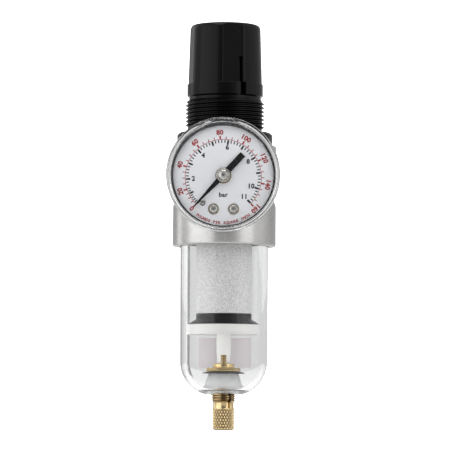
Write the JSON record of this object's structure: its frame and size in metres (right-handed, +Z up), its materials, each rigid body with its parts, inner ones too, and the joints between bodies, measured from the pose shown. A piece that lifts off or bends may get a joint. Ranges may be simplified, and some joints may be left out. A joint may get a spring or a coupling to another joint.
{
  "type": "air filter regulator",
  "caption": "Compact air filter regulator with a round pressure gauge, a black setting knob, a clear bowl around a filter, and a brass drain screw.",
  "frame": {"origin": "where the centreline of the two pipe ports crosses the vertical axis of the body", "axes": "+Z up along the body, knob and bowl; +X towards the outlet port, -X towards the inlet port; the gauge faces -Y"},
  "size_m": [0.042, 0.0727, 0.1544],
  "materials": {
    "body_metal": "satin die-cast",
    "black_plastic": "moulded",
    "white_plastic": "moulded",
    "inner_plastic": "moulded",
    "clear_bowl": "clear polycarbonate",
    "clear_lens": "clear polycarbonate",
    "brass": "turned",
    "bronze": "drawn",
    "steel": "bright",
    "spring_steel": "wire",
    "zinc_steel": "zinc plated",
    "case_black": "gloss black",
    "dial_white": "printed",
    "pointer_black": "matt",
    "rubber_black": "moulded",
    "filter_media": "sintered, open pored",
    "label_paper": "blank label"
  },
  "bodies": {
    "housing": {"body": "body_metal", "rear_port_plug": "body_metal", "plug_seal": "rubber_black", "bonnet": "black_plastic", "thrust_washer": "steel", "valve_guide": "inner_plastic", "stem_o_ring": "rubber_black", "air_deflector": "black_plastic", "filter_gasket": "rubber_black", "filter_element": "filter_media", "filter_retainer": "black_plastic", "baffle": "white_plastic", "gauge_socket": "brass", "gauge_seal": "white_plastic", "gauge_case": "case_black", "gauge_lens": "clear_lens", "gauge_dial": "dial_white", "dial_screws": "steel", "stop_pin": "steel", "bourdon_tube": "bronze", "movement_frame": "brass"},
    "setting_screw": {"adjusting_screw": "zinc_steel", "spindle_clip": "spring_steel"},
    "knob": {"adjusting_knob": "black_plastic"},
    "nut": {"spring_nut": "brass"},
    "valve": {"valve_stem": "brass", "valve_seal": "rubber_black", "valve_spring": "spring_steel"},
    "diaphragm_set": {"diaphragm": "rubber_black", "diaphragm_plate": "zinc_steel", "relief_seat": "brass", "regulating_spring": "spring_steel"},
    "bowl_carrier": {"bowl_o_ring": "rubber_black"},
    "bowl": {"bowl": "clear_bowl", "bowl_label": "label_paper"},
    "drain_carrier": {"drain_gasket": "rubber_black"},
    "drain": {"drain_hex": "brass", "drain_ring": "brass", "drain_screw": "brass"},
    "sector": {"sector_gear": "brass"},
    "pointer": {"gauge_pointer": "pointer_black", "pointer_hub": "steel", "pinion_arbor": "steel", "hairspring": "bronze"},
    "link": {"link": "brass"}
  },
  "joints": [
    {"name": "knob_turn", "type": "hinge", "parent": "housing", "child": "setting_screw", "pos_m": [0, 0, 0.05], "axis": [0, 0, 1], "range_deg": [-1800, 0]},
    {"name": "knob_lift", "type": "slide", "parent": "setting_screw", "child": "knob", "axis": [0, 0, 1], "range_m": [0, 0.003]},
    {"name": "nut_travel", "type": "slide", "parent": "housing", "child": "nut", "axis": [0, 0, 1], "range_m": [-0.00625, 0], "deforming": ["regulating_spring"]},
    {"name": "valve_lift", "type": "slide", "parent": "housing", "child": "valve", "axis": [0, 0, 1], "range_m": [-0.0012, 0], "stiffness_N_per_m": 100, "springref_m": 0.01, "deforming": ["valve_spring", "diaphragm", "regulating_spring"]},
    {"name": "relief_lift", "type": "slide", "parent": "valve", "child": "diaphragm_set", "axis": [0, 0, 1], "range_m": [0, 0.0004], "deforming": ["diaphragm", "regulating_spring"]},
    {"name": "bowl_drop", "type": "slide", "parent": "housing", "child": "bowl_carrier", "axis": [0, 0, 1], "range_m": [-0.006, 0]},
    {"name": "bowl_turn", "type": "hinge", "parent": "bowl_carrier", "child": "bowl", "pos_m": [0, 0, -0.05], "axis": [0, 0, 1], "range_deg": [-1440, 0]},
    {"name": "drain_rise", "type": "slide", "parent": "bowl", "child": "drain_carrier", "axis": [0, 0, 1], "range_m": [0, 0.00136]},
    {"name": "drain_turn", "type": "hinge", "parent": "drain_carrier", "child": "drain", "pos_m": [0, 0, -0.09], "axis": [0, 0, 1], "range_deg": [0, 539]},
    {"name": "sector_swing", "type": "hinge", "parent": "housing", "child": "sector", "pos_m": [0, -0.038, -0.0105], "axis": [0, 1, 0], "range_deg": [-45, 0], "stiffness_Nm_per_rad": 0.0002, "springref_deg": 57.3},
    {"name": "pointer_turn", "type": "hinge", "parent": "housing", "child": "pointer", "pos_m": [0, -0.04, 0], "axis": [0, 1, 0], "range_deg": [0, 270]},
    {"name": "link_swing", "type": "hinge", "parent": "sector", "child": "link", "pos_m": [0.0015, -0.0366, -0.0131], "axis": [0, 1, 0], "range_deg": [0, 45]}
  ],
  "couplings": [
    {"joint": "knob_turn", "follows": "nut_travel", "rad_per_m": 5026.5},
    {"joint": "bowl_turn", "follows": "bowl_drop", "rad_per_m": 4188.8},
    {"joint": "drain_turn", "follows": "drain_rise", "rad_per_m": 6927.4},
    {"joint": "pointer_turn", "follows": "sector_swing", "ratio": -6},
    {"joint": "link_swing", "follows": "sector_swing", "ratio": -0.9771}
  ]
}
